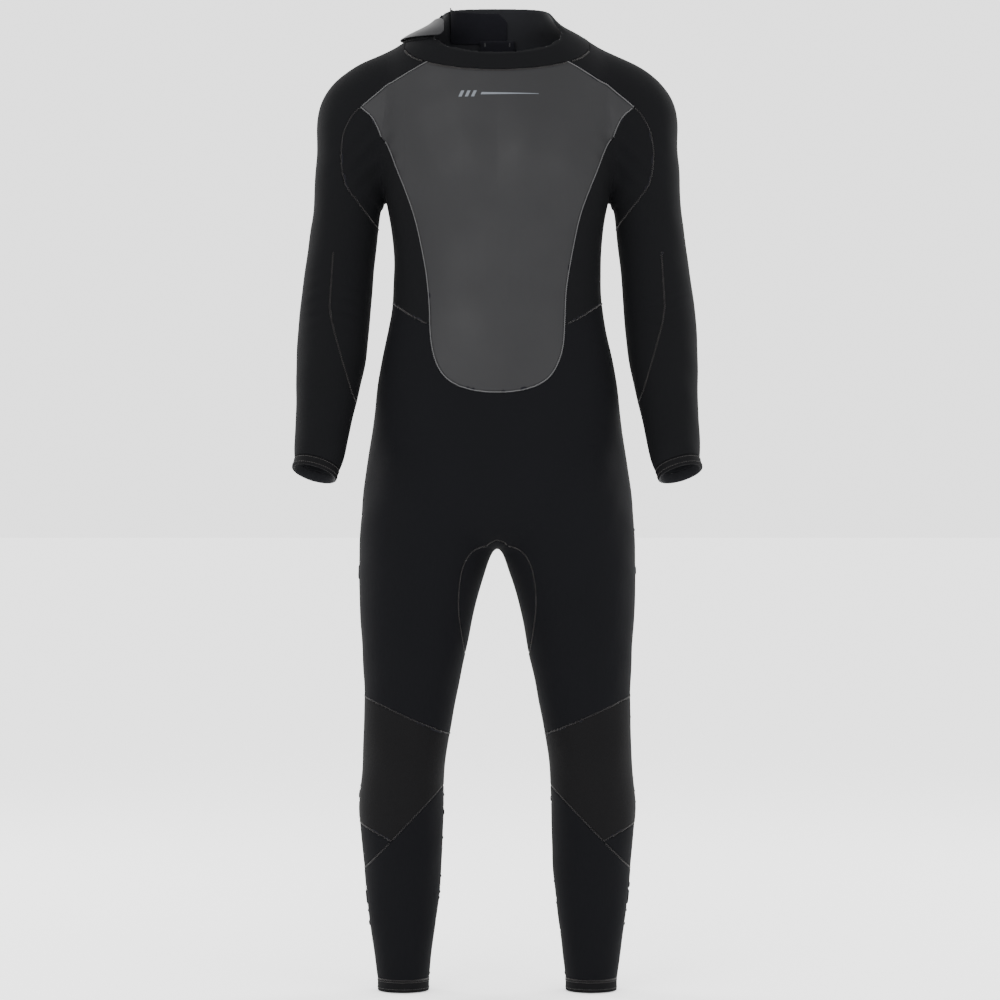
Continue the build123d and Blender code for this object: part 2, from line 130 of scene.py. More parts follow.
# ---------------------------------------------------------------- camera, light and floor
def make_camera():
    data = bpy.data.cameras.new("camera")
    data.sensor_width = SENSOR_MM
    data.lens = SENSOR_MM * CAMERA_DISTANCE / VIEW_HEIGHT
    camera = bpy.data.objects.new("camera", data)
    camera.location = (CAMERA_X, -CAMERA_DISTANCE, height(VIEW_MIDDLE))
    camera.rotation_euler = (math.pi / 2, 0, 0)
    bpy.context.scene.collection.objects.link(camera)
    bpy.context.scene.camera = camera


def area_light(name, location, target, size, power):
    data = bpy.data.lights.new(name, "AREA")
    data.shape = "RECTANGLE"
    data.size, data.size_y = size
    data.energy = power
    light = bpy.data.objects.new(name, data)
    light.location = location
    light.rotation_euler = (Vector(target) - Vector(location)).to_track_quat("-Z", "Y").to_euler()
    bpy.context.scene.collection.objects.link(light)
    return light


def make_studio():
    middle = (0, 0, height(800))
    area_light("key", (-1.6, -3.2, height(2300)), (0, 0, height(1000)), (1.8, 1.8), 62)
    area_light("fill", (2.2, -2.8, height(1500)), middle, (1.6, 2.4), 26)
    area_light("front", (0, -4.2, height(1250)), middle, (2.2, 1.2), 22)
    area_light("rim_left", (2.4, 1.8, height(1900)), middle, (0.8, 2.0), 60)
    area_light("rim_right", (-2.4, 1.8, height(1900)), middle, (0.8, 2.0), 60)
    world = bpy.data.worlds.new("studio")
    world.use_nodes = True
    background = world.node_tree.nodes["Background"]
    background.inputs["Color"].default_value = (1, 1, 1, 1)
    background.inputs["Strength"].default_value = WORLD_STRENGTH
    bpy.context.scene.world = world
    mesh = bpy.data.meshes.new("floor")
    low = height(-1.0)
    points = [(x, y, low) for y in (-FLOOR_HALF, FLOOR_HALF) for x in (-FLOOR_HALF, FLOOR_HALF)]
    faces = [(0, 1, 3, 2)]
    mesh.from_pydata(points, [], faces)
    floor = bpy.data.objects.new("floor", mesh)
    bpy.context.scene.collection.objects.link(floor)
    material = bpy.data.materials.new("floor")
    material.use_nodes = True
    shader = material.node_tree.nodes["Principled BSDF"]
    shader.inputs["Base Color"].default_value = (0.9, 0.9, 0.9, 1)
    shader.inputs["Roughness"].default_value = 0.8
    shader.inputs["Emission Color"].default_value = (1, 1, 1, 1)
    shader.inputs["Emission Strength"].default_value = FLOOR_GLOW
    mesh.materials.append(material)
    floor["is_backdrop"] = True


make_camera()
make_studio()


# ---------------------------------------------------------------- materials
class Shader:
    """A Principled material with helpers for procedural detail."""

    def __init__(self, name, color, roughness, metallic=0.0, sheen=0.0, specular=0.5):
        self.material = bpy.data.materials.new(name)
        self.material.use_nodes = True
        self.tree = self.material.node_tree
        self.principled = self.tree.nodes["Principled BSDF"]
        self.set("Base Color", (*color, 1))
        self.set("Roughness", roughness)
        self.set("Metallic", metallic)
        self.set("Specular IOR Level", specular)
        self.set("Sheen Weight", sheen)
        self.set("Sheen Roughness", 0.4)
        self.color = color
        coords = self.tree.nodes.new("ShaderNodeTexCoord")
        self.coords = coords.outputs["Object"]
        self.bump_normal = None

    def set(self, socket, value):
        self.principled.inputs[socket].default_value = value

    def noise(self, scale, detail=3.0, roughness=0.5):
        node = self.tree.nodes.new("ShaderNodeTexNoise")
        node.inputs["Scale"].default_value = scale
        node.inputs["Detail"].default_value = detail
        node.inputs["Roughness"].default_value = roughness
        self.tree.links.new(self.coords, node.inputs["Vector"])
        return node.outputs["Fac"]

    def cells(self, scale):
        node = self.tree.nodes.new("ShaderNodeTexVoronoi")
        node.inputs["Scale"].default_value = scale
        self.tree.links.new(self.coords, node.inputs["Vector"])
        return node.outputs["Distance"]

    def ribs(self, scale, direction, distortion=0.0):
        node = self.tree.nodes.new("ShaderNodeTexWave")
        node.bands_direction = direction
        node.inputs["Scale"].default_value = scale
        node.inputs["Distortion"].default_value = distortion
        self.tree.links.new(self.coords, node.inputs["Vector"])
        return node.outputs["Fac"]

    def bump(self, value, distance, strength=1.0):
        node = self.tree.nodes.new("ShaderNodeBump")
        node.inputs["Distance"].default_value = distance
        node.inputs["Strength"].default_value = strength
        self.tree.links.new(value, node.inputs["Height"])
        if self.bump_normal:
            self.tree.links.new(self.bump_normal, node.inputs["Normal"])
        self.bump_normal = node.outputs["Normal"]
        self.tree.links.new(self.bump_normal, self.principled.inputs["Normal"])

    def vary(self, value, low, high, socket):
        """Spreads a socket's value between two limits over a 0 to 1 texture."""
        node = self.tree.nodes.new("ShaderNodeMapRange")
        node.inputs["From Min"].default_value = 0.3
        node.inputs["From Max"].default_value = 0.7
        node.inputs["To Min"].default_value = low
        node.inputs["To Max"].default_value = high
        self.tree.links.new(value, node.inputs["Value"])
        self.tree.links.new(node.outputs["Result"], self.principled.inputs[socket])

    def tint(self, value, darker, lighter):
        """Mixes the colour between two strengths of itself."""
        node = self.tree.nodes.new("ShaderNodeMix")
        node.data_type = "RGBA"
        node.inputs["A"].default_value = (*[c * darker for c in self.color], 1)
        node.inputs["B"].default_value = (*[min(c * lighter, 1) for c in self.color], 1)
        self.tree.links.new(value, node.inputs["Factor"])
        self.tree.links.new(node.outputs["Result"], self.principled.inputs["Base Color"])


def jersey(name, color, roughness=0.9, sheen=0.0):
    shader = Shader(name, color, roughness, sheen=sheen, specular=0.10)
    shader.tint(shader.noise(9, 4), 0.86, 1.14)
    shader.bump(shader.noise(14, 3), 0.0006, 0.35)
    shader.bump(shader.ribs(420, "X", 1.5), 0.00012, 0.5)
    shader.bump(shader.cells(1400), 0.00014, 0.6)
    return shader.material


def smooth_skin(name, color, roughness):
    shader = Shader(name, color, roughness, specular=0.20)
    shader.tint(shader.noise(6, 5), 0.93, 1.07)
    shader.vary(shader.noise(11, 5), roughness - 0.05, roughness + 0.08, "Roughness")
    shader.bump(shader.noise(20, 2), 0.0008, 0.25)
    shader.bump(shader.noise(900, 3), 0.00008, 0.5)
    return shader.material


def knee_cloth(name, color):
    shader = Shader(name, color, 0.85, sheen=0.0, specular=0.11)
    shader.tint(shader.noise(12, 4), 0.85, 1.15)
    shader.bump(shader.cells(520), 0.0004, 0.7)
    shader.bump(shader.noise(1500, 2), 0.0001, 0.5)
    return shader.material


def fuzz(name, color):
    shader = Shader(name, color, 0.95, sheen=0.02, specular=0.06)
    shader.bump(shader.noise(900, 4, 0.8), 0.0008, 0.9)
    shader.tint(shader.noise(700, 3), 0.6, 1.5)
    return shader.material


def plastic(name, color, roughness=0.4):
    shader = Shader(name, color, roughness)
    shader.bump(shader.noise(600, 2), 0.00005, 0.4)
    return shader.material


def woven(name, color):
    shader = Shader(name, color, 0.9, sheen=0.0, specular=0.12)
    shader.bump(shader.ribs(500, "Z", 0.4), 0.0002, 0.7)
    shader.bump(shader.ribs(700, "X", 0.4), 0.0001, 0.6)
    return shader.material


def metal(name, color):
    shader = Shader(name, color, 0.3, metallic=1.0)
    shader.vary(shader.noise(300, 4), 0.22, 0.42, "Roughness")
    shader.bump(shader.noise(500, 3), 0.00004, 0.4)
    return shader.material


def thread(name, color):
    shader = Shader(name, color, 0.7, sheen=0.2, specular=0.3)
    shader.bump(shader.ribs(1800, "DIAGONAL"), 0.0001, 0.6)
    return shader.material


MATERIALS = {
    "smooth_skin": smooth_skin("smooth_skin", (0.0058, 0.0058, 0.0066), 0.50),
    "jersey_black": jersey("jersey_black", (0.0015, 0.0016, 0.0021)),
    "jersey_legs": jersey("jersey_legs", (0.0012, 0.0013, 0.0020)),
    "knee_armour": knee_cloth("knee_armour", (0.0014, 0.0013, 0.0016)),
    "hem_band": jersey("hem_band", (0.0018, 0.0018, 0.0022)),
    "lining": jersey("lining", (0.010, 0.0103, 0.012), 0.9, 0.1),
    "neck_lining": jersey("neck_lining", (0.004, 0.004, 0.006), 0.85, 0.06),
    "loop_fabric": fuzz("loop_fabric", (0.0022, 0.0022, 0.0026)),
    "hook_plastic": fuzz("hook_plastic", (0.003, 0.003, 0.0034)),
    "grip_skin": smooth_skin("grip_skin", (0.006, 0.006, 0.007), 0.45),
    "zip_fabric": woven("zip_fabric", (0.003, 0.003, 0.0035)),
    "zip_plastic": plastic("zip_plastic", (0.004, 0.004, 0.0045)),
    "zip_metal": metal("zip_metal", (0.42, 0.42, 0.43)),
    "seam_thread": thread("seam_thread", (0.020, 0.0175, 0.016)),
    "edge_thread": thread("edge_thread", (0.060, 0.060, 0.062)),
    "print": plastic("print", (0.060, 0.068, 0.080), 0.5),
}


# ---------------------------------------------------------------- mesh helpers
def link(name, mesh, material):
    obj = bpy.data.objects.new(name, mesh)
    bpy.context.scene.collection.objects.link(obj)
    mesh.materials.clear()
    mesh.materials.append(MATERIALS[material])
    return obj


def points_of(mesh):
    co = np.empty(len(mesh.vertices) * 3, np.float32)
    mesh.vertices.foreach_get("co", co)
    return co.reshape(-1, 3).astype(float)


def normals_of(mesh):
    no = np.empty(len(mesh.vertices) * 3, np.float32)
    mesh.vertices.foreach_get("normal", no)
    return no.reshape(-1, 3).astype(float)


def set_points(mesh, points):
    mesh.vertices.foreach_set("co", points.astype(np.float32).ravel())
    mesh.update()


def welded(names):
    """The CAD nodes' meshes in one bmesh, with the points their faces share joined."""
    made = bmesh.new()
    for name in names:
        made.from_mesh(NODES[name].data)
    bmesh.ops.remove_doubles(made, verts=made.verts, dist=2e-6)
    return made


def soft_form(name, nodes, voxel, smooth=3):
    """An even mesh that follows the CAD nodes' solids, with slightly rounded edges."""
    source = welded(nodes)
    mesh = bpy.data.meshes.new(name + "_source")
    source.to_mesh(mesh)
    source.free()
    target = bpy.data.objects.new(name + "_target", mesh)
    work = bpy.data.objects.new(name + "_work", mesh.copy())
    for obj in (target, work):
        bpy.context.scene.collection.objects.link(obj)
    remesh = work.modifiers.new("remesh", "REMESH")
    remesh.mode = "VOXEL"
    remesh.voxel_size = voxel
    wrap = work.modifiers.new("wrap", "SHRINKWRAP")
    wrap.target = target
    relax = work.modifiers.new("relax", "SMOOTH")
    relax.factor = 0.5
    relax.iterations = smooth
    graph = bpy.context.evaluated_depsgraph_get()
    result = bpy.data.meshes.new_from_object(work.evaluated_get(graph))
    for obj in (target, work):
        data = obj.data
        bpy.data.objects.remove(obj)
        bpy.data.meshes.remove(data)
    result.name = name
    result.shade_smooth()
    return result


# ---------------------------------------------------------------- seams
# Seam lines that cross a panel or a bending band, seen from the front (millimetres above the hem).
SLEEVE_SEAM_LOW = [(240, 1085), (243, 1040), (245, 1006), (242, 985)]
SLEEVE_SEAM_LOW += [(238, 969), (226, 926), (213, 882), (207, 866)]


def limb_axes(points):
    """For each point of the suit, a point on the axis of the limb or torso it belongs to."""
    x, y, z = points.T
    side = np.where(x > 0, 1.0, -1.0)
    axis = np.stack([np.zeros_like(x), np.zeros_like(x), z], axis=1)
    below = np.clip(height(950) - z, 0, None)
    leg = z < height(655)
    axis[leg] = np.stack([side * 0.128, np.full_like(x, 0.006), z], axis=1)[leg]
    hip = (z < height(960)) & (np.abs(x) < 0.186 + (height(960) - z) * 0.08)
    arm = (np.abs(x) > 0.168) & (z > height(740)) & ~hip
    axis[arm] = np.stack([side * (0.2425 + below * 0.12), 0.006 - below * 0.33, z], axis=1)[arm]
    shoulder = (np.abs(x) > 0.135) & (z > height(1160))
    middle = [side * 0.17, np.full_like(x, 0.008), np.full_like(x, height(1258))]
    axis[shoulder] = np.stack(middle, axis=1)[shoulder]
    return axis


def limb_axis(p):
    return limb_axes(np.array([p], float))[0]


def outer_edges(names):
    """The outline of a panel's outer face: its sharp edges whose skin looks away from the body."""
    made = welded(names)
    lines = []
    for edge in made.edges:
        if len(edge.link_faces) != 2 or edge.calc_face_angle(0) < math.radians(40):
            continue
        a, b = np.array(edge.verts[0].co), np.array(edge.verts[1].co)
        middle = (a + b) / 2
        away = middle - limb_axis(middle)
        # The skin face's normal is the one that lies closest to the way out, or the way in.
        length = np.linalg.norm(away) + 1e-9
        scores = [float(np.dot(np.array(f.normal), away)) / length for f in edge.link_faces]
        if max(scores, key=abs) > 0:
            lines.append((edge.verts[0].index, edge.verts[1].index))
    points = np.array([v.co for v in made.verts], float)
    made.free()
    return points, lines


def chains(points, lines, corner=50):
    """Joins edges end to end into lines, broken at corners and branches."""
    around = {}
    for a, b in lines:
        around.setdefault(a, []).append(b)
        around.setdefault(b, []).append(a)

    def sharp(v):
        if len(around[v]) != 2:
            return True
        d0, d1 = points[v] - points[around[v][0]], points[around[v][1]] - points[v]
        cosine = np.dot(d0, d1) / (np.linalg.norm(d0) * np.linalg.norm(d1) + 1e-12)
        return cosine < math.cos(math.radians(corner))

    used, result = set(), []
    starts = [v for v in around if sharp(v)] + list(around)
    for start in starts:
        for step in around[start]:
            if frozenset((start, step)) in used:
                continue
            path = [start, step]
            used.add(frozenset((start, step)))
            while not sharp(path[-1]):
                options = [v for v in around[path[-1]] if frozenset((path[-1], v)) not in used]
                if not options:
                    break
                used.add(frozenset((path[-1], options[0])))
                path.append(options[0])
            result.append(points[path])
    return result


def resample(line, step):
    gaps = np.linalg.norm(np.diff(line, axis=0), axis=1)
    line = line[np.concatenate([[True], gaps > 1e-7])]
    along = np.concatenate([[0], np.cumsum(np.linalg.norm(np.diff(line, axis=0), axis=1))])
    if along[-1] < step:
        return None
    marks = np.linspace(0, along[-1], max(int(along[-1] / step), 1) + 1)
    return np.stack([np.interp(marks, along, line[:, i]) for i in range(3)], axis=1)


class Surface:
    """The suit's outer surface, for placing seams and prints on it."""

    def __init__(self):
        made = welded([n for n in NODES if "zip" not in n and "strap" not in n and "patch" not in n])
        self.tree = BVHTree.FromBMesh(made)
        made.free()

    def from_front(self, x, z, back=False):
        start = Vector((x, 1.0 if back else -1.0, z))
        hit, normal, _, _ = self.tree.ray_cast(start, Vector((0, -1 if back else 1, 0)))
        return hit, normal

    def outward(self, p):
        """The outward direction at a point on the outside."""
        away = p - limb_axis(p)
        away = away / (np.linalg.norm(away) + 1e-9)
        hit, normal, _, _ = self.tree.find_nearest(Vector(p + away * 0.0015))
        normal = np.array(normal) if normal is not None else away
        return normal if np.dot(normal, away) > 0 else away


SURFACE = Surface()
TREES = {}
CLOTH_WORDS = ("panel", "knee", "sleeve", "hem")
for _name in NODES:
    if _name in ("collar", "crotch_gusset") or any(word in _name for word in CLOTH_WORDS):
        _mesh = welded([_name])
        TREES[_name] = BVHTree.FromBMesh(_mesh)
        _mesh.free()


def front_line(points_mm, side, back=False, step=0.003):
    line = np.array([[side * x / 1000, 0, height(z)] for x, z in points_mm])
    line = resample(line, step)
    hits = [SURFACE.from_front(p[0], p[2], back)[0] for p in line]
    return np.array([h for h in hits if h is not None], float)


def tube(paths, radius, sides=5):
    """One mesh of round threads that follow the paths."""
    verts, faces = [], []
    ring_angles = [2 * math.pi * i / sides for i in range(sides)]
    for path in paths:
        if len(path) < 2:
            continue
        base = len(verts)
        tangents = np.gradient(path, axis=0)
        normal = np.cross(tangents[0], (0.3, 0.5, 0.8))
        for p, t in zip(path, tangents):
            t = t / (np.linalg.norm(t) + 1e-12)
            normal = normal - t * np.dot(normal, t)
            normal = normal / (np.linalg.norm(normal) + 1e-12)
            side = np.cross(t, normal)
            verts += [p + radius * (math.cos(a) * normal + math.sin(a) * side) for a in ring_angles]
        for i in range(len(path) - 1):
            for j in range(sides):
                k = (j + 1) % sides
                a, b = base + i * sides, base + (i + 1) * sides
                faces.append((a + j, a + k, b + k, b + j))
        last = base + (len(path) - 1) * sides
        faces.append(tuple(range(base + sides - 1, base - 1, -1)))
        faces.append(tuple(range(last, last + sides)))
    mesh = bpy.data.meshes.new("thread")
    mesh.from_pydata([tuple(v) for v in verts], [], faces)
    mesh.shade_smooth()
    return mesh


def stitched(line, half=STITCH_HALF, lift=0.00012):
    """A zigzag thread that follows a seam line on the surface."""
    line = resample(line, STITCH_PITCH / 2)
    if line is None or len(line) < 4:
        return None
    tangents = np.gradient(line, axis=0)
    path = []
    for i, (p, t) in enumerate(zip(line, tangents)):
        n = SURFACE.outward(p)
        across = np.cross(t, n)
        across = across / (np.linalg.norm(across) + 1e-12)
        path.append(p + across * half * (1 if i % 2 else -1) + n * lift)
    return np.array(path)


def zone(p):
    """Which bending region a point belongs to: a leg, a sleeve or the torso."""
    side = "left" if p[0] > 0 else "right"
    if p[2] < height(480):
        return "leg_" + side
    if abs(limb_axis(p)[0]) > 0.2 and p[2] < height(1130):
        return "arm_" + side
    return "torso"


SEAM_PANELS = [
    ["chest_panel"],
    ["collar"],
    ["crotch_gusset"],
    ["front_panel"],
    ["seat_panel"],
] + [
    [f"{name}_{side}"]
    for side in SIDES
    for name in ("side_panel", "back_panel", "knee_pad", "knee_back", "shin_panel", "calf_panel")
] + [[f"shoulder_panel_{side}", f"inner_sleeve_{side}"] for side in SIDES]


def gather_seams():
    """Every seam line once, as (line, is the chest's edge)."""
    found = []
    for index, names in enumerate(SEAM_PANELS):
        points, lines = outer_edges(names)
        for line in chains(points, lines):
            line = resample(line, 0.003)
            if line is None or len(line) < 5 or not joins_another(line[len(line) // 2], names):
                continue
            found.append((line, index == 0))
    for side, sign in (("left", 1), ("right", -1)):
        for back in (False, True):
            line = front_line(SLEEVE_SEAM_LOW, sign, back)
            found.append((line, False))
    kept, grid = [], {}
    cell = 0.003

    def near(p):
        key = tuple(int(c // cell) for c in p)
        for dx in (-1, 0, 1):
            for dy in (-1, 0, 1):
                for dz in (-1, 0, 1):
                    for q in grid.get((key[0] + dx, key[1] + dy, key[2] + dz), ()):
                        if np.linalg.norm(p - q) < cell:
                            return True
        return False

    for line, edge in found:
        run, fresh = [], []
        for p in line:
            if near(p):
                if len(run) > 4:
                    fresh.append(np.array(run))
                run = []
            else:
                run.append(p)
        if len(run) > 4:
            fresh.append(np.array(run))
        for part in fresh:
            kept.append((part, edge))
            for p in part:
                grid.setdefault(tuple(int(c // cell) for c in p), []).append(p)
    return kept


def joins_another(p, own):
    """Whether a point on a panel's outline also touches a panel outside its own group."""
    for name, tree in TREES.items():
        if name not in own and tree.find_nearest(Vector(p), 0.0008)[0] is not None:
            return True
    return False


def is_hidden_seam(p):
    """The level cuts at the elbows, the rim and the open ends aren't sewn seams."""
    z_mm = (p[2] + NECK_ABOVE_HEM) * 1000
    if abs(limb_axis(p)[0]) > 0.2 and (abs(z_mm - 1081) < 3 or abs(z_mm - 946) < 3):
        return True
    if abs(p[0]) < 0.016 and p[1] > 0.03 and z_mm > 980:
        return True
    return z_mm > 1412

# ---------------------------------------------------------------- body relief
def bell(points, x, z, sx, sz):
    """A smooth bump in front view, on both sides of the suit."""
    dx = (np.abs(points[:, 0]) - x) / sx
    dz = (points[:, 2] - height(z)) / sz
    return np.exp(-0.5 * (dx * dx + dz * dz))


def ease(value, start, end):
    t = np.clip((value - start) / (end - start), 0, 1)
    return t * t * (3 - 2 * t)


def relief(points):
    """The body under the suit and the cloth's soft unevenness, as offsets for points of the suit."""
    x, y, z = points.T
    front, back = ease(-y, 0.0, 0.06), ease(y, 0.0, 0.06)
    off = np.zeros_like(points)
    torso = np.abs(limb_axes(points)[:, 0]) < 0.2
    chest = 0.0065 * bell(points, 0.072, 1212, 0.05, 0.042) - 0.0030 * bell(points, 0.0, 1205, 0.022, 0.06)
    chest -= 0.0028 * bell(points, 0.07, 1128, 0.07, 0.03)
    belly = 0.0035 * bell(points, 0.0, 965, 0.07, 0.06) + 0.002 * bell(points, 0.055, 1050, 0.04, 0.05)
    off[:, 1] -= (chest + belly) * front * torso
    clear_of_zip = ease(np.abs(x), 0.022, 0.06)
    blades = 0.0050 * bell(points, 0.085, 1255, 0.045, 0.06)
    seat = 0.0050 * bell(points, 0.085, 752, 0.055, 0.05) - 0.003 * bell(points, 0.0, 740, 0.02, 0.05)
    off[:, 1] += (blades * clear_of_zip + seat) * back
    knee = 0.0045 * bell(points, 0.136, 338, 0.035, 0.035) - 0.0018 * bell(points, 0.134, 392, 0.04, 0.02)
    off[:, 1] -= knee * front
    # Shallow folds behind the knees, inside the elbows and under the arms.
    leg = z < height(480)
    folds = np.sin((z - height(320)) * 330 + 2.2 * np.sin(x * 45)) * bell(points, 0.138, 322, 0.045, 0.028)
    off[:, 1] += 0.0011 * folds * back * leg
    elbow = np.sin((z - height(1010)) * 300 + 2.0 * np.sin(x * 60)) * bell(points, 0.236, 1010, 0.035, 0.03)
    off[:, 1] += 0.0008 * elbow * ease(-y, 0.0, 0.03)
    slant = (x * 0.7 * np.sign(x) + (z - height(1180)) * 0.7) * 260
    pull = np.sin(slant) * bell(points, 0.185, 1215, 0.03, 0.04)
    off[:, 1] -= 0.0012 * pull * front
    # Low, broad unevenness of the sheet neoprene.
    wave = np.sin(x * 61 + 1.3 * np.sin(z * 23)) * np.sin(z * 47 + 1.7 * np.sin(x * 31 + y * 40))
    wave += 0.6 * np.sin(y * 83 + z * 29) * np.sin(z * 71 + x * 17)
    calm = ease(np.hypot(x / 0.03, (y - 0.08) / 0.03), 0.8, 1.6)
    away = points - limb_axes(points)
    away /= np.linalg.norm(away, axis=1)[:, None] + 1e-9
    off += away * (0.00045 * wave * calm)[:, None]
    off *= ease(z, height(20), height(50))[:, None] * ease(height(1425) - z, 0, 0.04)[:, None]
    return off


# ---------------------------------------------------------------- joints between limbs and torso
BODY_NODES = [n for n in TREES if "hem" not in n]


def crease_weight(points):
    """Where the limbs run into the torso, and the cloth has to bridge them smoothly."""
    x, z = np.abs(points[:, 0]), points[:, 2]
    shoulder = ease(x, 0.095, 0.140) * ease(z, height(1165), height(1215)) * ease(height(1425) - z, 0, 0.03)
    deltoid = ease(x, 0.20, 0.225) * ease(z, height(1120), height(1160)) * ease(height(1330) - z, 0, 0.03)
    hips = ease(z, height(610), height(650)) * ease(height(900) - z, 0, 0.06)
    hips *= x < 0.186 + (height(960) - z) * 0.08  # not the forearms beside the hips
    return np.clip(np.maximum(np.maximum(shoulder, deltoid), hips), 0, 1)


class Bridging:
    """How far each place moves when the body's joints are smoothed over."""

    def __init__(self, voxel=0.0022, rounds=420):
        mesh = soft_form("bridging", BODY_NODES, voxel, smooth=1)
        before = points_of(mesh)
        weights = crease_weight(before)
        obj = bpy.data.objects.new("bridging", mesh)
        bpy.context.scene.collection.objects.link(obj)
        group = obj.vertex_groups.new(name="crease")
        levels = np.round(weights * 20) / 20
        for level in np.unique(levels[levels > 0]):
            group.add(np.nonzero(levels == level)[0].tolist(), float(level), "REPLACE")
        relax = obj.modifiers.new("relax", "SMOOTH")
        relax.factor, relax.iterations, relax.vertex_group = 0.5, rounds, "crease"
        after = bpy.data.meshes.new_from_object(obj.evaluated_get(bpy.context.evaluated_depsgraph_get()))
        moved = points_of(after) - before
        bpy.data.objects.remove(obj)
        for data in (mesh, after):
            bpy.data.meshes.remove(data)
        chosen = np.nonzero(weights > 0)[0]
        self.moved = moved[chosen]
        self.tree = KDTree(len(chosen))
        for i, p in enumerate(before[chosen]):
            self.tree.insert(p, i)
        self.tree.balance()

    def offsets(self, points):
        out = np.zeros_like(points)
        for i in np.nonzero(crease_weight(points) > 0)[0]:
            found = self.tree.find_n(points[i], 4)
            weights = np.array([1 / (d + 0.0004) for _, _, d in found])
            out[i] = weights @ self.moved[[k for _, k, _ in found]] / weights.sum()
        return out


BRIDGING = Bridging()


def shaped(points):
    """Where points of the CAD's surface lie on the finished suit."""
    points = points + BRIDGING.offsets(points)
    return points + relief(points)


# ---------------------------------------------------------------- the seams' places
SEAMS = [(shaped(line), edge) for line, edge in gather_seams() if not is_hidden_seam(line[len(line) // 2])]
SEAM_POINTS = KDTree(sum(len(line) for line, edge in SEAMS))
_count = 0
for _line, _edge in SEAMS:
    for _point in _line:
        SEAM_POINTS.insert(_point, _count)
        _count += 1
SEAM_POINTS.balance()


def sink_seams(points, normals):
    """Draws the cloth in along its seams."""
    moved = points.copy()
    for i, p in enumerate(points):
        _, _, distance = SEAM_POINTS.find(p)
        if distance is not None and distance < 0.004:
            moved[i] -= normals[i] * SEAM_DEPTH * math.exp(-((distance / SEAM_REACH) ** 2))
    return moved


def place(obj, body, blend_to=None):
    """Rides a body; with blend_to given, only bakes the transform and rides no body."""
    if blend_to is None:
        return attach(obj, body)
    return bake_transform(obj)


def lined(mesh, lining):
    """Gives the faces that look into the suit the lining's material."""
    mesh.materials.append(MATERIALS[lining])
    centres = np.empty(len(mesh.polygons) * 3, np.float32)
    normals = np.empty(len(mesh.polygons) * 3, np.float32)
    mesh.polygons.foreach_get("center", centres)
    mesh.polygons.foreach_get("normal", normals)
    centres, normals = centres.reshape(-1, 3).astype(float), normals.reshape(-1, 3)
    inward = np.einsum("ij,ij->i", normals, centres - limb_axes(centres)) < -0.004
    mesh.polygons.foreach_set("material_index", inward.astype(np.int32))


def panel(name, nodes, material, body=SUIT, blend_to=None, lining="lining", voxel=None):
    mesh = soft_form(name, nodes, voxel or VOXEL)
    points = shaped(points_of(mesh))
    set_points(mesh, points)
    set_points(mesh, sink_seams(points, normals_of(mesh)))
    obj = link(name, mesh, material)
    if lining:
        lined(mesh, lining)
    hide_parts(*nodes)
    return place(obj, body, blend_to)


panel("chest", ["chest_panel"], "smooth_skin")
panel("neck_collar", ["collar"], "jersey_black")
panel("hips_front", ["front_panel"], "jersey_legs")
panel("hips_back", ["seat_panel"], "jersey_legs")
panel("gusset", ["crotch_gusset"], "jersey_legs", lining=None)
for side in SIDES:
    forearm, shin = f"forearm_{side}", f"shin_{side}"
    sleeve = ("shoulder_panel", "inner_sleeve", "elbow_band", "forearm_panel")
    sleeve_nodes = [f"{n}_{side}" for n in sleeve]
    panel(f"sleeve_{side}", sleeve_nodes, "jersey_black", SUIT, forearm)
    panel(f"torso_side_{side}", [f"side_panel_{side}"], "jersey_black")
    panel(f"back_{side}", [f"back_panel_{side}"], "jersey_black")
    panel(f"kneepad_{side}", [f"knee_pad_{side}"], "knee_armour", SUIT, shin)
    panel(f"kneeback_{side}", [f"knee_back_{side}"], "jersey_legs", SUIT, shin)
    panel(f"shin_front_{side}", [f"shin_panel_{side}"], "jersey_legs", SUIT, shin)
    panel(f"calf_{side}", [f"calf_panel_{side}"], "jersey_legs", SUIT, shin)


# ---------------------------------------------------------------- stitching
def sew():
    groups = {}
    for line, edge in SEAMS:
        if edge:
            bead = resample(line, 0.003)
            lifted = np.array([p + SURFACE.outward(p) * 0.0001 for p in bead])
            groups.setdefault(("edge_thread", "torso"), []).append((lifted, 0.00055))
        parts, run, where = [], [], None
        for p in line:
            now = zone(p)
            if now != where and run:
                parts.append((where, run + [p]))
                run = []
            where = now
            run.append(p)
        parts.append((where, run))
        for where, run in parts:
            if len(run) > 2:
                inner = resample(np.array(run), 0.004)
                inner = np.array([q - SURFACE.outward(q) * TAPE_DEPTH for q in inner])
                groups.setdefault(("neck_lining", where), []).append((inner, TAPE_RADIUS))
                # Wider tape where the shoulder panels run out to a point beside the zip.
                near_zip = (np.abs(inner[:, 0]) < 0.065) & (inner[:, 1] > 0.03)
                near_zip &= inner[:, 2] > height(1360)
                if where == "torso" and near_zip.sum() > 2:
                    for drop in (0.0026, 0.0052):
                        lower = inner[near_zip] - (0, 0, drop)
                        groups.setdefault(("neck_lining", where), []).append((lower, TAPE_RADIUS))
            path = stitched(np.array(run)) if len(run) > 4 else None
            if path is not None:
                thread_name = "edge_thread" if edge else "seam_thread"
                groups.setdefault((thread_name, where), []).append((path, THREAD_RADIUS))
    for (material, where), items in groups.items():
        for radius in sorted({r for _, r in items}):
            mesh = tube([path for path, r in items if r == radius], radius)
            label = "seam_tape" if material == "neck_lining" else material
            name = f"{label}_{where}_{round(radius * 1e6)}"
            mesh.name = name
            obj = link(name, mesh, material)
            if where == "torso":
                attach(obj, SUIT)
            else:
                limb, side = where.split("_")
                joint_body = f"shin_{side}" if limb == "leg" else f"forearm_{side}"
                place(obj, SUIT, joint_body)


sew()


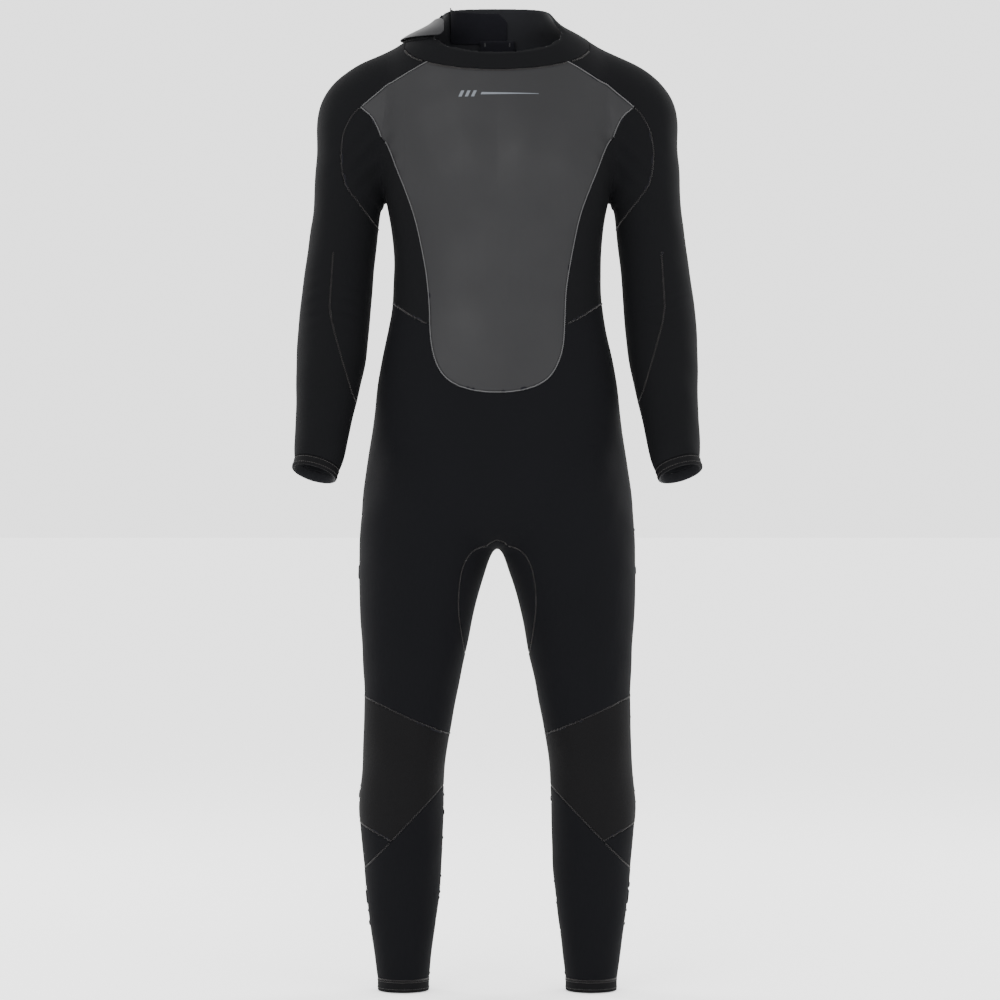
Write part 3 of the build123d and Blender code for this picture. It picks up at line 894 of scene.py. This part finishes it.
# ---------------------------------------------------------------- hems
def circle(centre, axis, radius, along, dash, gap=0.0012):
    """A round of running stitches about an axis."""
    centre, axis = np.array(centre), np.array(axis) / np.linalg.norm(axis)
    u = np.cross(axis, (0, 1, 0))
    u /= np.linalg.norm(u)
    v = np.cross(axis, u)
    middle = centre + axis * along
    count = int(2 * math.pi * radius / (dash + gap))
    paths = []
    for i in range(count):
        start, end = 2 * math.pi * i / count, 2 * math.pi * (i + dash / (dash + gap)) / count
        angles = np.linspace(start, end, 4)
        lift = radius + 0.00025 * np.sin(np.linspace(0, math.pi, 4))[:, None]
        paths.append(middle + lift * (np.cos(angles)[:, None] * u + np.sin(angles)[:, None] * v))
    return paths


def rim_radius(limb):
    return (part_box(f"{limb}_left")[1].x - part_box(f"{limb}_left")[0].x) / 2


ANKLE_RADIUS = rim_radius("ankle_hem")
WRIST_RADIUS = 0.034
WRIST_CENTRE = (0.26285, -0.060, height(774.5))
WRIST_AXIS = (0.26253, -0.34202, -0.902275)
HEM_DASH, HEM_THREAD = 0.0022, 0.0003
for side, sign in (("left", 1), ("right", -1)):
    low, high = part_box(f"ankle_hem_{side}")
    ankle = ((low.x + high.x) / 2, (low.y + high.y) / 2, low.z)
    wrist = (sign * WRIST_CENTRE[0],) + WRIST_CENTRE[1:]
    wrist_axis = (sign * WRIST_AXIS[0],) + WRIST_AXIS[1:]
    for limb, centre, axis, radius, rows, body in (
        ("ankle_hem", ankle, (0, 0, 1), ANKLE_RADIUS, (0.0048, 0.0150), f"shin_{side}"),
        ("wrist_hem", wrist, wrist_axis, WRIST_RADIUS, (0.0022, 0.0108), f"forearm_{side}"),
    ):
        mesh = soft_form(f"{limb}_soft_{side}", [f"{limb}_{side}"], 0.0009, smooth=6)
        obj = link(f"{limb}_soft_{side}", mesh, "hem_band")
        lined(mesh, "lining")
        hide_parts(f"{limb}_{side}")
        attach(obj, body)
        paths = [p for row in rows for p in circle(centre, axis, radius + 0.0001, row, dash=HEM_DASH)]
        rows_obj = link(f"{limb}_stitches_{side}", tube(paths, HEM_THREAD), "seam_thread")
        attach(rows_obj, body)


# ---------------------------------------------------------------- zip
BACK_RADIUS, BACK_Y, BACK_Z = 0.900, -0.795, height(1190)
COIL_PITCH = 0.00155
COIL_X, COIL_HALF_WIDTH = 0.00165, 0.00205  # middle and half width of one side's turns
COIL_RISE, COIL_HALF = -0.0017, 0.00118
COIL_SLANT = 0.00022
COIL_THREAD = 0.00034


def on_back(x, rise, angle):
    """A point on the back's arc: rise is outwards, and the angle is in radians above the arc's centre."""
    r = BACK_RADIUS + rise
    return np.array([x, BACK_Y + r * math.cos(angle), BACK_Z + r * math.sin(angle)])


def angle_at(z):
    return math.asin((z - BACK_Z) / BACK_RADIUS)


def coil(sign):
    """One side of the zip: flattened turns of nylon that reach just past the middle."""
    start, end = angle_at(height(991)), angle_at(height(1395.5))
    count = int((end - start) * BACK_RADIUS / COIL_PITCH)
    paths = []
    for i in range(count):
        middle = start + (i + (0.5 if sign > 0 else 0)) * COIL_PITCH / BACK_RADIUS
        turn = []
        for k in range(11):
            a = 2 * math.pi * k / 10
            x = sign * (COIL_X + COIL_HALF_WIDTH * math.cos(a))
            slant = COIL_SLANT / BACK_RADIUS * math.cos(a)
            turn.append(on_back(x, COIL_RISE + COIL_HALF * math.sin(a), middle + slant))
        paths.append(np.array(turn))
    return tube(paths, COIL_THREAD, 4)


def rolled(name, nodes, material, voxel, body=SUIT, smooth=4, rough=0.0, shape=False):
    """A small soft piece: even mesh, rounded edges, and a fuzzy face where rough is over 0."""
    mesh = soft_form(name, nodes, voxel, smooth)
    if rough or shape:
        points, normals = points_of(mesh), normals_of(mesh)
        if shape:
            points = shaped(points)
        random = np.random.default_rng(len(points))
        points += normals * (random.random(len(points)) * rough)[:, None]
        set_points(mesh, points)
    obj = link(name, mesh, material)
    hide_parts(*nodes)
    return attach(obj, body)


for side, sign in (("left", 1), ("right", -1)):
    teeth = link(f"zip_teeth_{side}", coil(sign), "zip_plastic")
    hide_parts(f"zip_coil_{side}")
    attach(teeth, SUIT)
    rolled(f"zip_tape_woven_{side}", [f"zip_tape_{side}"], "zip_fabric", 0.0005, smooth=2)
rolled("zip_backing", ["zip_flap"], "neck_lining", 0.001)
rolled("neck_seal", ["neck_flap"], "neck_lining", 0.0008, smooth=6, shape=True)

for name in ("zip_slider", "zip_puller", "zip_bottom_stop", "zip_top_stop_left", "zip_top_stop_right"):
    node = NODES[name]
    node.data.materials.clear()
    node.data.materials.append(MATERIALS["zip_plastic" if "stop" in name else "zip_metal"])
    weld = node.modifiers.new("weld", "WELD")
    weld.merge_threshold = 0.00001
    bevel = node.modifiers.new("bevel", "BEVEL")
    bevel.width, bevel.segments, bevel.limit_method = 0.00022, 2, "ANGLE"
    bevel.harden_normals = True


# ---------------------------------------------------------------- collar closure
rolled("loop_fastener", ["loop_patch"], "loop_fabric", 0.0006, rough=0.0005, shape=True)
rolled("strap_sewn_end", ["strap_base"], "jersey_black", 0.0009)
rolled("hook_fastener", ["hook_patch"], "hook_plastic", 0.0004, "collar_strap", smooth=1)
rolled("strap_webbing", ["collar_strap"], "jersey_black", 0.0008, "collar_strap", smooth=5)
rolled("strap_tab", ["strap_grip"], "grip_skin", 0.0008, "collar_strap", smooth=8)


TAB_HALF = 0.026
TACK_HALF, TACK_RISE = 0.002, -0.0103


def neck_tab():
    """The lining's folded top edge behind the end of the zip, tacked down at both corners."""
    across, up = np.linspace(-TAB_HALF, TAB_HALF, 14), np.linspace(height(1391), height(1411), 8)
    verts, faces = [], []
    for rise in (-0.0090, -0.0099):
        for z in up:
            for x in across:
                dip = 0.0012 * (x / TAB_HALF) ** 2
                verts.append(tuple(on_back(x, rise - dip, angle_at(z))))
    rows, columns = len(up), len(across)
    layer = rows * columns
    for j in range(rows - 1):
        for i in range(columns - 1):
            k = j * columns + i
            faces.append((k, k + 1, k + columns + 1, k + columns))
            faces.append((k + layer, k + columns + layer, k + columns + 1 + layer, k + 1 + layer))
    rim = [i for i in range(columns)] + [j * columns + columns - 1 for j in range(1, rows)]
    rim += [(rows - 1) * columns + i for i in range(columns - 2, -1, -1)]
    rim += [j * columns for j in range(rows - 2, 0, -1)]
    for a, b in zip(rim, rim[1:] + rim[:1]):
        faces.append((a, a + layer, b + layer, b))
    mesh = bpy.data.meshes.new("neck_tab")
    mesh.from_pydata(verts, [], faces)
    mesh.shade_smooth()
    obj = link("neck_tab", mesh, "neck_lining")
    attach(obj, SUIT)
    tacks = []
    for x in (-0.0195, 0.0195):
        for i in range(5):
            z = height(1403 + 1.2 * i)
            start = on_back(x - TACK_HALF, TACK_RISE, angle_at(z))
            end = on_back(x + TACK_HALF, TACK_RISE, angle_at(z + 0.0005))
            tacks.append(np.array([start, end]))
    threads = link("neck_tab_stitches", tube(tacks, 0.00035), "edge_thread")
    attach(threads, SUIT)


neck_tab()


# ---------------------------------------------------------------- print on the chest
def chest_mark():
    """A plain mark of three slanted bars and a tapering line."""
    shapes = []
    for i in range(3):
        x = -0.056 + i * 0.009
        shapes.append([(x, 1305.5), (x + 0.0045, 1305.5), (x + 0.0085, 1314.5), (x + 0.004, 1314.5)])
    shapes.append([(-0.024, 1308.6), (0.060, 1309.6), (0.060, 1310.4), (-0.0225, 1312.0)])
    verts, faces = [], []
    for (a, b, c, d) in shapes:
        columns = max(int(abs(b[0] - a[0]) / 0.002), 2)
        base = len(verts)
        for i in range(columns + 1):
            t = i / columns
            for s in (0, 0.5, 1):
                low = (a[0] + (b[0] - a[0]) * t, a[1] + (b[1] - a[1]) * t)
                high = (d[0] + (c[0] - d[0]) * t, d[1] + (c[1] - d[1]) * t)
                x, z = low[0] + (high[0] - low[0]) * s, low[1] + (high[1] - low[1]) * s
                hit, _ = SURFACE.from_front(x, height(z))
                p = np.array(hit, float)
                verts.append(tuple(p + relief(p[None])[0] + np.array([0, -0.00025, 0])))
        for i in range(columns):
            for s in (0, 1):
                k = base + i * 3 + s
                faces.append((k, k + 3, k + 4, k + 1))
    mesh = bpy.data.meshes.new("chest_mark")
    mesh.from_pydata(verts, [], faces)
    mesh.shade_smooth()
    obj = link("chest_mark", mesh, "print")
    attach(obj, SUIT)


chest_mark()


write_size("visual")
